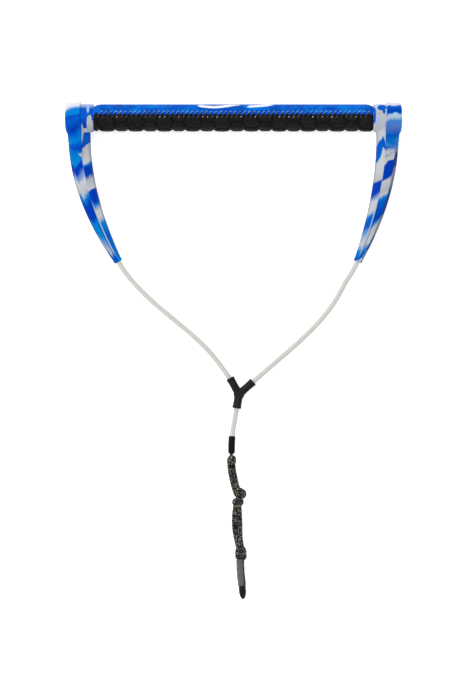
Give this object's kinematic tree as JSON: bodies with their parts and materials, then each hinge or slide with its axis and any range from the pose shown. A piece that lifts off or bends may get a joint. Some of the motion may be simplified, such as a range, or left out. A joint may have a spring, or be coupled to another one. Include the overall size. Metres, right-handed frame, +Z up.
{
  "type": "tow rope handle",
  "caption": "Water sports tow handle: foam-wrapped bar with soft swirled rubber arms, a coated rope bridle with a rubber junction, and a knotted braided pigtail.",
  "frame": {"origin": "on the surface the handle lies on, at the middle of the box round the bar, its caps and its arms", "axes": "+X along the bar, -Y from the bar along the rope towards the boat, +Z up from the surface"},
  "size_m": [0.381, 0.5666, 0.036],
  "materials": {
    "anodised_tube": "satin drawn tube",
    "plug_nylon": "moulded",
    "palm_foam": "embossed closed-cell foam, matte",
    "printed_foam": "smooth printed foam, satin",
    "seam_thread": "waxed whip stitching",
    "swirl_rubber": "marbled thermoplastic rubber, satin",
    "coated_cord": "smooth coated cord",
    "black_rubber": "moulded, matte",
    "dark_line": "thin braided line",
    "flecked_braid": "hollow braid with pale flecks",
    "whipping_twine": "fine wound twine"
  },
  "bodies": {
    "handle": {"bar_tube": "anodised_tube", "end_plug_left": "plug_nylon", "end_plug_right": "plug_nylon", "stopper_knot_left": "coated_cord", "stopper_knot_right": "coated_cord", "grip_palm_pad": "palm_foam", "grip_cover": "printed_foam", "seam_thread_top": "seam_thread", "seam_thread_bottom": "seam_thread", "arm_guard_left": "swirl_rubber", "arm_guard_right": "swirl_rubber", "end_cap_left": "swirl_rubber", "end_cap_right": "swirl_rubber", "guard_cord_left": "coated_cord", "guard_cord_right": "coated_cord"},
    "bridle": {"bridle_cord_left": "coated_cord", "bridle_cord_right": "coated_cord", "y_connector": "black_rubber", "lead_cord": "coated_cord", "lead_sleeve": "black_rubber", "lead_eye": "dark_line"},
    "pigtail": {"pigtail_hitch": "flecked_braid", "upper_strand_left": "flecked_braid", "upper_strand_right": "flecked_braid", "middle_knot": "flecked_braid", "lower_strand_left": "flecked_braid", "lower_strand_right": "flecked_braid", "end_knot": "flecked_braid", "pigtail_whipping": "whipping_twine", "dipped_tip": "black_rubber"}
  },
  "joints": [
    {"name": "bridle_fold", "type": "hinge", "parent": "handle", "child": "bridle", "pos_m": [0, -0.0949, 0.0042], "axis": [-1, 0, 0], "range_deg": [0, 90]},
    {"name": "pigtail_swing", "type": "hinge", "parent": "bridle", "child": "pigtail", "pos_m": [-0.0025, -0.3146, 0.0049], "axis": [0, 0, 1], "range_deg": [-70, 70]}
  ]
}
